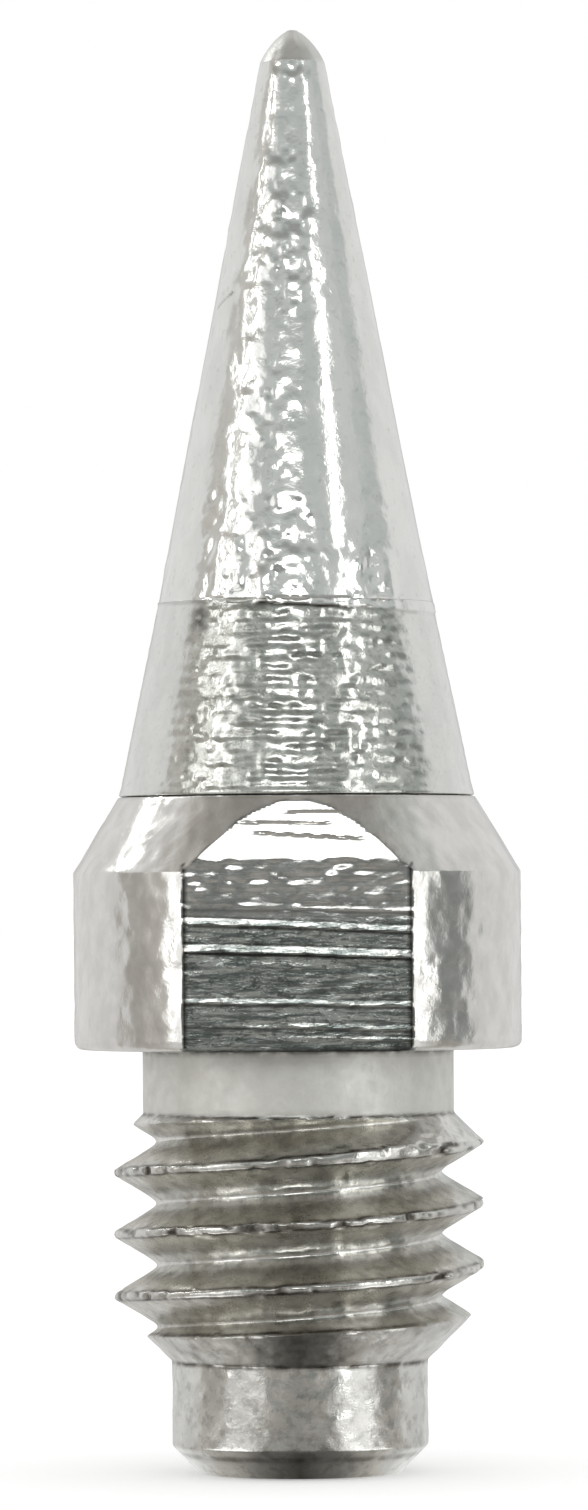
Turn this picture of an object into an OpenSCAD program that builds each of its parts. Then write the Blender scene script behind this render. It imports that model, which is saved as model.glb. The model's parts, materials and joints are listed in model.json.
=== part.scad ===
// Screw-in live centre for a small lathe tailstock or indexing fixture.
// A round housing with two wrench flats carries the thread and the pilot. The cone turns in it on
// a thrust ball bearing and two radial ball bearings. Units are millimetres. The Z axis is the axis
// of rotation, +Z runs towards the point, and Z = 0 is the shoulder that seats on the holder.

/* [Collar] */
// Diameter of the collar
collar_d = 11.52; // [11:0.02:14]
// Height of the collar, from the shoulder to the nose chamfer
collar_h = 4.53; // [4:0.01:7]
// Height of the nose chamfer above the collar
nose_h = 1.92; // [1.2:0.02:2.6]
// Chamfer on the lower edge of the collar
collar_break = 0.2; // [0.05:0.01:0.4]
// Width across the two wrench flats
flats_af = 10; // [9.6:0.1:11]
// Height at which each wrench flat starts to lean inwards
lean_start = 4.86; // [3.5:0.01:5.5]
// Angle by which the top of each wrench flat leans inwards
lean_angle = 11; // [0:1:11]

/* [Shank] */
// Major diameter of the thread
thread_d = 9.525; // [9:0.025:11]
// Pitch of the thread
thread_pitch = 1.5875; // [1:0.0125:1.8]
// Length of the thread, end chamfer included
thread_len = 6.35; // [5:0.05:9]
// Diameter of the plain neck under the shoulder
neck_d = 8; // [7.8:0.05:8.6]
// Length of the plain neck
neck_len = 1.65; // [0.8:0.05:3]
// Radius of the fillet between the neck and the shoulder
neck_fillet = 0.12; // [0.05:0.01:0.3]
// Diameter of the pilot at the end of the shank
pilot_d = 6.6; // [6.2:0.05:6.9]
// Length of the pilot
pilot_len = 2.87; // [2.4:0.01:5]
// Chamfer on the end of the pilot
pilot_chamfer = 0.7; // [0.2:0.05:0.7]

/* [Cone] */
// Diameter of the cone at its foot, where it meets the nose
foot_d = 9.16; // [8.9:0.02:9.6]
// Diameter of the cone at the joint with the hardened point
joint_d = 7.1; // [6:0.05:8]
// Length of the turned cone, from its foot to the joint
cone_len = 4.9; // [4:0.05:8]
// Length of the hardened point beyond the joint
point_len = 14.8; // [10:0.1:20]
// Diameter where the blunt end of the point starts
tip_d = 1.7; // [1:0.05:2.4]
// Length of the blunt end of the point
tip_len = 0.84; // [0.5:0.02:1.2]
// Radius of the rounded apex
apex_r = 0.46; // [0.2:0.02:0.6]
// Radius of the bulging side between the apex and the blunt edge
tip_side_r = 1.9; // [1:0.1:4]
// Diameter of the stem that holds the point in the cone
stem_d = 3; // [2:0.1:4]
// Length of the stem
stem_len = 4.2; // [3:0.1:4.6]

/* [Spindle] */
// Diameter of the shoulder that bears on the thrust bearing
boss_d = 6; // [5.4:0.1:6.6]
// Diameter of the spindle between the two radial bearings
waist_d = 2.6; // [2.2:0.05:2.9]
// Diameter of the journal under the thrust bearing and the front bearing
journal_d = 3; // [2.6:0.1:3.6]
// Diameter of the journal under the rear bearing, the tail washer and the tail nut
tail_d = 2; // [1.7:0.1:2.3]
// Length of the spindle that stands out under the tail nut
tail_length = 0.2; // [0.1:0.05:0.4]

/* [Thrust bearing] */
// Outer diameter of the thrust bearing
thrust_od = 8; // [7.6:0.1:8.2]
// Height of the thrust bearing
thrust_h = 3.5; // [3.2:0.05:3.6]
// Depth to which a ball sits in each thrust washer
thrust_sink = 0.144; // [0.1:0.002:0.2]
// Ball diameter of the thrust bearing
thrust_ball_d = 1.588; // [1.4:0.001:1.7]
// Number of balls in the thrust bearing
thrust_balls = 8; // [5:1:8]

/* [Front radial bearing] */
// Outer diameter of the front bearing
front_od = 6; // [5.8:0.1:6.4]
// Width of the front bearing
front_w = 2.5; // [2.3:0.1:2.8]
// Ball diameter of the front bearing
front_ball_d = 0.8; // [0.7:0.05:0.85]
// Number of balls in the front bearing
front_balls = 9; // [6:1:11]

/* [Rear radial bearing] */
// Outer diameter of the rear bearing
rear_od = 5; // [4.8:0.1:5.4]
// Width of the rear bearing
rear_w = 2.5; // [2.3:0.1:2.8]
// Ball diameter of the rear bearing
rear_ball_d = 0.8; // [0.7:0.05:0.85]
// Number of balls in the rear bearing
rear_balls = 7; // [5:1:9]

/* [Small parts] */
// Thickness of the nose seal
seal_h = 0.5; // [0.3:0.05:0.7]
// Thickness of the shim that holds the front bearing down
shim_h = 0.2; // [0.1:0.05:0.4]
// Height of the preload spring as fitted
spring_h = 0.6; // [0.4:0.05:0.8]
// Thickness of the sheet of the preload spring
spring_t = 0.15; // [0.1:0.01:0.2]
// Number of waves in the preload spring
spring_waves = 3; // [3:1:4]
// Thickness of the tail washer
washer_h = 0.2; // [0.15:0.05:0.4]
// Diameter of the tail washer
washer_d = 3.2; // [2.8:0.1:3.6]
// Height of the tail nut
nut_h = 1.2; // [1:0.1:1.6]
// Length of the end plug
plug_h = 1.55; // [1.2:0.05:1.7]
// Width of the screwdriver slot in the end plug
slot_w = 0.6; // [0.4:0.05:0.9]
// Depth of the screwdriver slot
slot_depth = 0.6; // [0.3:0.05:0.8]

/* [Clearances] */
// Running gap between the foot of the cone and the nose
running_gap = 0.09; // [0.05:0.01:0.2]
// Radial clearance between turning and standing parts
turn_clear = 0.04; // [0.02:0.01:0.1]
// Radial clearance around the thrust washers and their cage
thrust_clear = 0.09; // [0.05:0.01:0.15]
// Radial clearance around the waist of the spindle in the housing
waist_clear = 0.3; // [0.2:0.02:0.5]
// Radial clearance around the corners of the tail nut
nut_clear = 0.19; // [0.1:0.01:0.3]
// Axial clearance between the tail of the spindle and the end plug
tail_clear = 0.6; // [0.3:0.05:1]
// Radial play of a ball in its groove or pocket
ball_play = 0.01; // [0.005:0.005:0.03]
// Axial clearance between a turning part and its neighbour
side_clear = 0.08; // [0.05:0.01:0.15]
// Depth of the end plug under the end of the pilot
plug_recess = 0.1; // [0:0.05:0.3]

/* [Hidden] */
$fn = 96;

// Levels along the axis, from the nose down to the end of the pilot.
nose_z = collar_h + nose_h;
foot_z = nose_z + running_gap;
joint_z = foot_z + cone_len;
tip_z = joint_z + point_len;
blunt_z = tip_z - tip_len;
seal_top = nose_z - side_clear;
thrust_top = seal_top - seal_h - side_clear;
thrust_low = thrust_top - thrust_h;
front_top = thrust_low - shim_h;
front_low = front_top - front_w;

// Levels of the shank, and of what stands on the end plug.
neck_low = -neck_len;
thread_low = neck_low - thread_len;
pilot_low = thread_low - pilot_len;
plug_low = pilot_low + plug_recess;
tail_low = plug_low + plug_h + tail_clear;
nut_low = tail_low + tail_length;
washer_low = nut_low + nut_h;
rear_low = washer_low + washer_h;
rear_top = rear_low + rear_w;
web_low = rear_top + spring_h;

// Proportions that the catalogue bearings share.
groove_fit = 1.04; // groove radius over ball radius
shield_t = 0.12; // sheet thickness of a bearing shield
shield_inset = 0.1; // depth of a shield under the side face of its ring
ring_break = 0.12; // corner chamfer of a bearing ring
edge_break = 0.15; // chamfer on the mouth of a bore and on the foot of the cone
seal_bite = 0.01; // play between the seal lip and the boss
overlap = 0.01; // how far a cutting body passes the face that it cuts

steel = "#b9bab8";
bright_steel = "#d4d5d2";
bearing_steel = "#c4c8cb";
brass = "#c9a24b";
rubber = "#2b2b2d";

// A turned ring or disc between two diameters and two levels.
module ring(d_out, d_in, low, high, chamfer = 0) {
    rotate_extrude()
        polygon([
            [d_in / 2, low + chamfer], [d_in / 2 + chamfer, low],
            [d_out / 2 - chamfer, low], [d_out / 2, low + chamfer],
            [d_out / 2, high - chamfer], [d_out / 2 - chamfer, high],
            [d_in / 2 + chamfer, high], [d_in / 2, high - chamfer],
        ]);
}

module bore(d, low, high) {
    translate([0, 0, low])
        cylinder(d = d, h = high - low);
}

// Ring-shaped ball groove, as a torus about the axis.
module groove(pitch_d, ball_d, z) {
    rotate_extrude()
        translate([pitch_d / 2, z])
            circle(d = ball_d * groove_fit);
}

module ball_circle(count, pitch_d, z) {
    for (i = [0:count - 1])
        rotate([0, 0, 360 * i / count])
            translate([pitch_d / 2, 0, z])
                children();
}

// ---------------------------------------------------------------- housing

// Cutting body of the thread: one V groove that winds down the shank and runs out at the neck.
function groove_width(r) = thread_pitch / 16 + 2 * (r - thread_root_r) * tan(30);
thread_form = 0.67; // depth of the groove over its pitch
thread_root_r = thread_d / 2 - thread_form * thread_pitch;
groove_steps = 36; // rings of the groove in one turn
groove_start = 205; // angle at which the groove has its full depth
groove_runout = 125; // angle over which it lifts out of the shank
groove_over = 0.09 * thread_pitch; // how far the groove reaches past the crests
groove_turns = (thread_len + thread_pitch) / thread_pitch + groove_runout / 360;
groove_rings = ceil(groove_turns * groove_steps);
groove_full_z = neck_low - 0.39 * thread_pitch; // level of the groove where it has its full depth
function groove_lift(a) = max(0, 1 - a / groove_runout) * (thread_d / 2 - thread_root_r) * 1.12;
groove_profile = [
    [thread_root_r, -groove_width(thread_root_r) / 2],
    [thread_d / 2 + groove_over, -groove_width(thread_d / 2 + groove_over) / 2],
    [thread_d / 2 + groove_over, groove_width(thread_d / 2 + groove_over) / 2],
    [thread_root_r, groove_width(thread_root_r) / 2],
];

module thread_groove() {
    corners = len(groove_profile);
    points = [
        for (i = [0:groove_rings])
            let (
                turned = 360 * i / groove_steps,
                angle = groove_start + groove_runout - turned,
                z = groove_full_z + thread_pitch * (groove_runout - turned) / 360,
                lift = groove_lift(turned)
            )
            for (p = groove_profile)
                [(p[0] + lift) * cos(angle), (p[0] + lift) * sin(angle), z + p[1]]
    ];
    walls = [
        for (i = [0:groove_rings - 1], j = [0:corners - 1])
            let (a = i * corners + j, b = i * corners + (j + 1) % corners)
            each [[a, b + corners, b], [a, a + corners, b + corners]]
    ];
    first = [for (j = [0:corners - 1]) j];
    last = [for (j = [corners - 1:-1:0]) groove_rings * corners + j];
    polyhedron(points, concat(walls, [first, last]));
}

// Round collar with a nose chamfer and two wrench flats that lean inwards at the top.
module collar() {
    flat = flats_af / 2;
    top_flat = flat - (nose_z - lean_start) * tan(lean_angle);
    intersection() {
        rotate_extrude()
            polygon([
                [0, 0], [collar_d / 2 - collar_break, 0], [collar_d / 2, collar_break],
                [collar_d / 2, collar_h], [foot_d / 2, nose_z], [0, nose_z],
            ]);
        rotate([90, 0, 90])
            linear_extrude(2 * collar_d, center = true)
                polygon([
                    [-flat, 0], [flat, 0], [flat, lean_start], [top_flat, nose_z],
                    [-top_flat, nose_z], [-flat, lean_start],
                ]);
    }
}

module shank() {
    thread_r = thread_d / 2;
    neck_r = neck_d / 2;
    pilot_r = pilot_d / 2;
    rotate_extrude()
        polygon([
            [0, collar_h / 2], [neck_r, collar_h / 2], [neck_r, neck_low],
            [thread_r, neck_low - (thread_r - neck_r)],
            [thread_r, thread_low + (thread_r - pilot_r)], [pilot_r, thread_low],
            [pilot_r, pilot_low + pilot_chamfer], [pilot_r - pilot_chamfer, pilot_low],
            [0, pilot_low],
        ]);
    rotate_extrude()
        translate([neck_r, -neck_fillet])
            difference() {
                translate([-neck_fillet, 0])
                    square([2 * neck_fillet, neck_fillet + overlap]);
                translate([neck_fillet, 0])
                    circle(r = neck_fillet, $fn = 48);
            }
}

module housing() {
    color(steel)
        difference() {
            union() {
                collar();
                shank();
            }
            bore(thrust_od, thrust_low, nose_z + overlap);
            bore(front_od, front_low, nose_z);
            // Relief in the web, so that only the outer ring seats on it.
            bore(outer_land(journal_d, front_od, front_ball_d), front_low - side_clear, nose_z);
            bore(waist_d + 2 * waist_clear, pilot_low, nose_z);
            bore(rear_od, pilot_low - overlap, web_low);
            thread_groove();
        }
}

module end_plug() {
    color(steel)
        difference() {
            ring(rear_od, 0, plug_low, plug_low + plug_h);
            translate([-rear_od, -slot_w / 2, plug_low - overlap])
                cube([2 * rear_od, slot_w, slot_depth + overlap]);
        }
}

module nose_seal() {
    lip_d = boss_d + 2 * seal_bite;
    color(rubber)
        rotate_extrude()
            polygon([
                [thrust_od / 2, seal_top - seal_h], [thrust_od / 2, seal_top],
                [lip_d / 2 + seal_h / 2, seal_top], [lip_d / 2, seal_top - seal_h / 2],
                [lip_d / 2, seal_top - seal_h],
            ]);
}

// ---------------------------------------------------------------- spindle and point

module spindle() {
    journal_r = journal_d / 2;
    tail_r = tail_d / 2;
    stem_gap = 0.15;
    color(bright_steel)
        difference() {
            rotate_extrude()
                polygon([
                    [0, tail_low], [tail_r - edge_break, tail_low],
                    [tail_r, tail_low + edge_break], [tail_r, rear_top],
                    [waist_d / 2, rear_top], [waist_d / 2, front_low],
                    [journal_r, front_low], [journal_r, thrust_top],
                    [boss_d / 2, thrust_top], [boss_d / 2, foot_z],
                    [foot_d / 2 - edge_break / 2, foot_z],
                    [foot_d / 2, foot_z + edge_break / 2],
                    [joint_d / 2, joint_z], [0, joint_z],
                ]);
            bore(stem_d, joint_z - stem_len - stem_gap, joint_z + overlap);
        }
}

module hardened_point() {
    centre = tip_arc_centre();
    edge_angle = atan2(blunt_z - centre.y, tip_d / 2 - centre.x);
    touch_angle = atan2(tip_z - apex_r - centre.y, -centre.x);
    stem_chamfer = 0.2;
    arc_steps = 6;
    color(bright_steel) {
        rotate_extrude()
            polygon([
                [0, joint_z - stem_len], [stem_d / 2 - stem_chamfer, joint_z - stem_len],
                [stem_d / 2, joint_z - stem_len + stem_chamfer], [stem_d / 2, joint_z],
                [joint_d / 2, joint_z],
                for (k = [0:arc_steps - 1])
                    let (a = edge_angle + (touch_angle - edge_angle) * k / arc_steps)
                    centre + tip_side_r * [cos(a), sin(a)],
                for (k = [0:arc_steps - 1])
                    let (a = touch_angle + (90 - touch_angle) * k / arc_steps)
                    [apex_r * cos(a), tip_z - apex_r + apex_r * sin(a)],
                [0, tip_z],
            ]);
    }
}

// Centre, as [r, z], of the tip's side arc, which starts at the blunt edge and runs smoothly into the apex circle.
function tip_arc_centre() =
    let (
        blunt_edge = [tip_d / 2, blunt_z],
        apex_centre = [0, tip_z - apex_r],
        span = norm(apex_centre - blunt_edge),
        along = (apex_centre - blunt_edge) / span,
        foot = (tip_side_r * tip_side_r - (tip_side_r - apex_r) * (tip_side_r - apex_r) + span * span) / (2 * span)
    )
    blunt_edge + along * foot + [-along.y, along.x] * sqrt(tip_side_r * tip_side_r - foot * foot);

// ---------------------------------------------------------------- thrust bearing

thrust_pitch_d = (thrust_od + journal_d) / 2;
thrust_mid = thrust_low + thrust_h / 2;
thrust_washer_h = (thrust_h - thrust_ball_d) / 2 + thrust_sink;

module thrust_shaft_washer() {
    color(bearing_steel)
        difference() {
            ring(thrust_od - 2 * thrust_clear, journal_d,
                 thrust_top - thrust_washer_h, thrust_top, ring_break);
            groove(thrust_pitch_d, thrust_ball_d, thrust_mid);
        }
}

module thrust_housing_washer() {
    color(bearing_steel)
        difference() {
            ring(thrust_od, journal_d + 2 * thrust_clear,
                 thrust_low, thrust_low + thrust_washer_h, ring_break);
            groove(thrust_pitch_d, thrust_ball_d, thrust_mid);
        }
}

module thrust_cage() {
    cage_h = thrust_h - 2 * thrust_washer_h - 6 * side_clear;
    color(brass)
        difference() {
            ring(thrust_od - 4 * thrust_clear, journal_d + 4 * thrust_clear,
                 thrust_mid - cage_h / 2, thrust_mid + cage_h / 2);
            ball_circle(thrust_balls, thrust_pitch_d, thrust_mid - thrust_h / 2)
                cylinder(d = thrust_ball_d + 4 * ball_play, h = thrust_h);
        }
}

module thrust_ball_set() {
    color(bright_steel)
        ball_circle(thrust_balls, thrust_pitch_d, thrust_mid)
            sphere(d = thrust_ball_d - 2 * ball_play);
}

// ---------------------------------------------------------------- radial bearings
// Each radial bearing is given by its bore, outer diameter, width, ball diameter and lower face.

function pitch_of(bore_d, od) = (bore_d + od) / 2;
function inner_land(bore_d, od, ball_d) = pitch_of(bore_d, od) - 0.62 * ball_d;
function outer_land(bore_d, od, ball_d) = pitch_of(bore_d, od) + 0.62 * ball_d;

module radial_outer_ring(bore_d, od, w, ball_d, low) {
    land = outer_land(bore_d, od, ball_d);
    seat = shield_t + shield_inset;
    color(bearing_steel)
        difference() {
            ring(od, land, low, low + w, ring_break / 2);
            groove(pitch_of(bore_d, od), ball_d, low + w / 2);
            bore(land + 2 * shield_t, low - overlap, low + seat);
            bore(land + 2 * shield_t, low + w - seat, low + w + overlap);
        }
}

module radial_inner_ring(bore_d, od, w, ball_d, low) {
    color(bearing_steel)
        difference() {
            ring(inner_land(bore_d, od, ball_d), bore_d, low, low + w, ring_break / 2);
            groove(pitch_of(bore_d, od), ball_d, low + w / 2);
        }
}

module radial_cage(bore_d, od, w, ball_d, count, low) {
    pitch_d = pitch_of(bore_d, od);
    cage_t = 0.36 * ball_d;
    cage_h = 1.5 * ball_d;
    color(brass)
        difference() {
            ring(pitch_d + cage_t, pitch_d - cage_t,
                 low + (w - cage_h) / 2, low + (w + cage_h) / 2);
            ball_circle(count, pitch_d, low + w / 2)
                sphere(d = ball_d + 4 * ball_play, $fn = 48);
        }
}

module radial_balls(bore_d, od, w, ball_d, count, low) {
    color(bright_steel)
        ball_circle(count, pitch_of(bore_d, od), low + w / 2)
            sphere(d = ball_d - 2 * ball_play, $fn = 48);
}

module radial_shields(bore_d, od, w, ball_d, low) {
    outer = outer_land(bore_d, od, ball_d) + 2 * shield_t;
    inner = inner_land(bore_d, od, ball_d) + 2 * turn_clear;
    color(bearing_steel)
        for (z = [low + shield_inset, low + w - shield_inset - shield_t])
            ring(outer, inner, z, z + shield_t);
}

module front_outer_ring() {
    radial_outer_ring(journal_d, front_od, front_w, front_ball_d, front_low);
}

module front_inner_ring() {
    radial_inner_ring(journal_d, front_od, front_w, front_ball_d, front_low);
}

module front_cage() {
    radial_cage(journal_d, front_od, front_w, front_ball_d, front_balls, front_low);
}

module front_ball_set() {
    radial_balls(journal_d, front_od, front_w, front_ball_d, front_balls, front_low);
}

module front_shields() {
    radial_shields(journal_d, front_od, front_w, front_ball_d, front_low);
}

module rear_outer_ring() {
    radial_outer_ring(tail_d, rear_od, rear_w, rear_ball_d, rear_low);
}

module rear_inner_ring() {
    radial_inner_ring(tail_d, rear_od, rear_w, rear_ball_d, rear_low);
}

module rear_cage() {
    radial_cage(tail_d, rear_od, rear_w, rear_ball_d, rear_balls, rear_low);
}

module rear_ball_set() {
    radial_balls(tail_d, rear_od, rear_w, rear_ball_d, rear_balls, rear_low);
}

module rear_shields() {
    radial_shields(tail_d, rear_od, rear_w, rear_ball_d, rear_low);
}

// ---------------------------------------------------------------- shim, spring, washer and nut

module bearing_shim() {
    color(steel)
        ring(front_od, outer_land(journal_d, front_od, front_ball_d), front_top, thrust_low);
}

// Wave washer between the web and the outer ring of the rear bearing.
module preload_spring() {
    steps = 48;
    outer = rear_od / 2 - turn_clear;
    inner = outer_land(tail_d, rear_od, rear_ball_d) / 2;
    swing = (spring_h - spring_t) / 2;
    function wave(i) = rear_top + spring_h / 2 + swing * sin(360 * spring_waves * i / steps);
    function corner(r, i, z) = [r * cos(360 * i / steps), r * sin(360 * i / steps), z];
    points = [
        for (i = [0:steps - 1])
            let (low = wave(i) - spring_t / 2, high = wave(i) + spring_t / 2)
            each [corner(inner, i, low), corner(outer, i, low),
                  corner(outer, i, high), corner(inner, i, high)]
    ];
    faces = [
        for (i = [0:steps - 1], j = [0:3])
            let (a = 4 * i + j, b = 4 * i + (j + 1) % 4,
                 c = 4 * ((i + 1) % steps) + j, d = 4 * ((i + 1) % steps) + (j + 1) % 4)
            each [[a, d, c], [a, b, d]]
    ];
    color(bright_steel)
        polyhedron(points, faces);
}

module tail_washer() {
    color(steel)
        ring(washer_d, tail_d, washer_low, rear_low);
}

module tail_nut() {
    color(steel)
        difference() {
            translate([0, 0, nut_low])
                cylinder(d = rear_od - 2 * nut_clear, h = nut_h, $fn = 6);
            bore(tail_d, nut_low - overlap, washer_low + overlap);
        }
}

housing();
end_plug();
nose_seal();
spindle();
hardened_point();
thrust_shaft_washer();
thrust_housing_washer();
thrust_cage();
thrust_ball_set();
front_outer_ring();
front_inner_ring();
front_cage();
front_ball_set();
front_shields();
bearing_shim();
preload_spring();
rear_outer_ring();
rear_inner_ring();
rear_cage();
rear_ball_set();
rear_shields();
tail_washer();
tail_nut();
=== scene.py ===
"""Studio scene of the screw-in live centre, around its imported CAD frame. Lengths in the code are
millimetres along the frame's axes and become metres when a mesh is made."""
import math

import bmesh
import bpy
import numpy as np
from mathutils import Matrix, Vector
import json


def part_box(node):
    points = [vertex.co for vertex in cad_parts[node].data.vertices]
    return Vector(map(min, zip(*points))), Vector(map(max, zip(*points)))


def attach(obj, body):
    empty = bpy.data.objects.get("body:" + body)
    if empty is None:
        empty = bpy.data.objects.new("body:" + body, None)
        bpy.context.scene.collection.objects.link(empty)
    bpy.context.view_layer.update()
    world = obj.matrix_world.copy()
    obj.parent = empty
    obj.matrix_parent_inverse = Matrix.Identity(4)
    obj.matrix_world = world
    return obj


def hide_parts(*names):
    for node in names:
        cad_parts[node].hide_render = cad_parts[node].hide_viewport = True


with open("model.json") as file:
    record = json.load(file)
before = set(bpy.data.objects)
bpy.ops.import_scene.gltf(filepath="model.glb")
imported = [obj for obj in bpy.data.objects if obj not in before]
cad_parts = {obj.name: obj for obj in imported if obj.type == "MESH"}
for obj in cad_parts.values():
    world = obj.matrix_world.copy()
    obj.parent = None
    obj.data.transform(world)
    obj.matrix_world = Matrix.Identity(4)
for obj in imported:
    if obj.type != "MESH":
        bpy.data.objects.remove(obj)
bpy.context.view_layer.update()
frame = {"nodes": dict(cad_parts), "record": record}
MM = 0.001


def box_mm(node):
    low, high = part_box(node)
    return [c / MM for c in low], [c / MM for c in high]


# ---------------------------------------------------------------- sizes, from the frame
HOUSE_LOW, HOUSE_HIGH = box_mm("housing")
SPINDLE_LOW, SPINDLE_HIGH = box_mm("spindle")
POINT_LOW, POINT_HIGH = box_mm("hardened_point")
SHAFT_WASHER_HIGH = box_mm("thrust_shaft_washer")[1]
HOUSE_WASHER_LOW, HOUSE_WASHER_HIGH = box_mm("thrust_housing_washer")
FRONT_LOW = box_mm("front_outer_ring")[0]
REAR_HIGH = box_mm("rear_outer_ring")[1]
SPRING_HIGH = box_mm("preload_spring")[1]

COLLAR_R = HOUSE_HIGH[0]
FLAT_Y = HOUSE_HIGH[1]
NOSE_Z = HOUSE_HIGH[2]
PILOT_END_Z = HOUSE_LOW[2]
FOOT_R = SPINDLE_HIGH[0]
JOINT_Z = SPINDLE_HIGH[2]
JOINT_R = POINT_HIGH[0]
TIP_Z = POINT_HIGH[2]

COLLAR_H = 4.53
RUNNING_GAP = 0.09
FOOT_Z = NOSE_Z + RUNNING_GAP
LEAN_START, LEAN_ANGLE = 4.86, math.radians(11)
NECK_R, NECK_LOW = 4.0, -1.65
THREAD_R, THREAD_LOW, PITCH = 4.7625, -8.0, 1.5875
ROOT_R = THREAD_R - 0.67 * PITCH
GROOVE_START_DEG, GROOVE_RUNOUT_DEG = 205, 125
GROOVE_FULL_Z = NECK_LOW - 0.39 * PITCH
PILOT_R, PILOT_CHAMFER = 3.3, 0.7
BLUNT_R, BLUNT_Z = 0.85, TIP_Z - 0.84
APEX_R, TIP_SIDE_R = 0.46, 1.9
STEM_R, STEM_LOW = 1.5, POINT_LOW[2]
BOSS_R, JOURNAL_R, WAIST_R, TAIL_R, TAIL_END_R = 3.0, 1.5, 1.3, 1.0, 0.85
TAIL_CHAMFER = 0.15
HEAD_BORE_R = 3.0  # seat of the front bearing
WEB_R, RELIEF_R, RELIEF = 1.6, 2.498, 0.08  # bore of the web, and the relief under the inner ring
AXIS_R = 0.05  # closed bodies end this far from the axis, where a fan closes them


# ---------------------------------------------------------------- noise on arrays
def value_noise(points, cell, seed):
    """Smooth noise from 0 to 1 at an array of points, with cells of one size or one per axis."""
    table = np.random.default_rng(seed).random((16, 16, 16))
    p = points / np.asarray(cell, float)
    base = np.floor(p).astype(int)
    f = p - base
    f = f * f * f * (f * (f * 6 - 15) + 10)
    total = np.zeros(len(points))
    for dx in (0, 1):
        for dy in (0, 1):
            for dz in (0, 1):
                weight = (
                    (f[:, 0] if dx else 1 - f[:, 0])
                    * (f[:, 1] if dy else 1 - f[:, 1])
                    * (f[:, 2] if dz else 1 - f[:, 2])
                )
                total += weight * table[
                    (base[:, 0] + dx) % 16, (base[:, 1] + dy) % 16, (base[:, 2] + dz) % 16
                ]
    return total


def smoothstep(low, high, x):
    t = np.clip((x - low) / (high - low), 0, 1)
    return t * t * (3 - 2 * t)


# ---------------------------------------------------------------- outlines and meshes
def rounded(corners, segments=4):
    """Outline through (r, z, fillet radius) corners, with each corner rounded by its radius."""
    out = []
    for i, (r, z, fillet) in enumerate(corners):
        if not fillet:
            out.append((r, z))
            continue
        here = np.array([r, z])
        before = np.array(corners[i - 1][:2]) - here
        after = np.array(corners[(i + 1) % len(corners)][:2]) - here
        before /= np.linalg.norm(before)
        after /= np.linalg.norm(after)
        half = math.acos(max(-1, min(1, float(before @ after)))) / 2
        reach = fillet / math.tan(half)
        middle = (before + after) / np.linalg.norm(before + after)
        centre = here + middle * fillet / math.sin(half)
        a, b = here + before * reach - centre, here + after * reach - centre
        angle = math.acos(max(-1, min(1, float(a @ b) / fillet**2)))
        for k in range(segments + 1):
            t = k / segments
            arm = (math.sin((1 - t) * angle) * a + math.sin(t * angle) * b) / math.sin(angle)
            out.append(tuple(centre + arm))
    return out


def dense(outline, step, closed=True, where=lambda r, z: True):
    """The outline with its long stretches cut into pieces of about one step, where asked."""
    out = []
    last = len(outline) if closed else len(outline) - 1
    for i in range(last):
        a, b = np.array(outline[i]), np.array(outline[(i + 1) % len(outline)])
        middle = (a + b) / 2
        count = max(1, int(np.linalg.norm(b - a) / step)) if where(*middle) else 1
        out += [tuple(a + (b - a) * k / count) for k in range(count)]
    if not closed:
        out.append(tuple(outline[-1]))
    return out


def outline_normals(outline, closed):
    o = np.array(outline)
    if closed:
        along = np.roll(o, -1, 0) - np.roll(o, 1, 0)
    else:
        along = np.gradient(o, axis=0)
    along /= np.maximum(np.linalg.norm(along, axis=1, keepdims=True), 1e-9)
    after = np.roll(o, -1, 0)
    runs_outside_up = np.sum(o[:, 0] * after[:, 1] - after[:, 0] * o[:, 1]) > 0
    return np.stack([along[:, 1], -along[:, 0]], 1) * (1 if runs_outside_up else -1)


def make_object(name, vertices, faces, sharp_deg=40):
    mesh = bpy.data.meshes.new(name)
    mesh.from_pydata((np.asarray(vertices) * MM).tolist(), [], faces)
    mesh.validate()
    mesh.shade_smooth()
    obj = bpy.data.objects.new(name, mesh)
    bpy.context.scene.collection.objects.link(obj)
    face_outwards(obj)
    mesh.set_sharp_from_angle(angle=math.radians(sharp_deg))
    return obj


def face_outwards(obj):
    b = bmesh.new()
    b.from_mesh(obj.data)
    bmesh.ops.recalc_face_normals(b, faces=b.faces)
    if b.calc_volume(signed=True) < 0:
        bmesh.ops.reverse_faces(b, faces=b.faces)
    b.to_mesh(obj.data)
    b.free()


def lathe(name, outline, columns, relief=None, closed=True, sharp_deg=40):
    """Closed turned body. relief(points, normals_rz) gives how far each vertex stands out."""
    o = np.array(outline)
    normals = outline_normals(outline, closed)
    angle = np.linspace(0, 2 * math.pi, columns, endpoint=False)
    ca, sa = np.cos(angle), np.sin(angle)
    r, z = np.repeat(o[:, 0], columns), np.repeat(o[:, 1], columns)
    c, s = np.tile(ca, len(o)), np.tile(sa, len(o))
    points = np.stack([r * c, r * s, z], 1)
    if relief is not None:
        n = np.repeat(normals, columns, axis=0)
        h = relief(points, n)
        r, z = r + n[:, 0] * h, z + n[:, 1] * h
        points = np.stack([r * c, r * s, z], 1)
    faces = []
    rings = len(o)
    for i in range(rings if closed else rings - 1):
        j = (i + 1) % rings
        for k in range(columns):
            m = (k + 1) % columns
            faces.append((i * columns + k, i * columns + m, j * columns + m, j * columns + k))
    vertices = points
    if not closed:  # both ends lie on the axis, and close with a fan
        for ring, tip_z in ((0, o[0, 1]), (rings - 1, o[-1, 1])):
            tip = len(vertices)
            vertices = np.vstack([vertices, [[0, 0, tip_z]]])
            for k in range(columns):
                faces.append((ring * columns + k, ring * columns + (k + 1) % columns, tip))
    return make_object(name, vertices, faces, sharp_deg)


def vertex_array(obj):
    co = np.empty(len(obj.data.vertices) * 3)
    obj.data.vertices.foreach_get("co", co)
    return co.reshape(-1, 3) / MM


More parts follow.
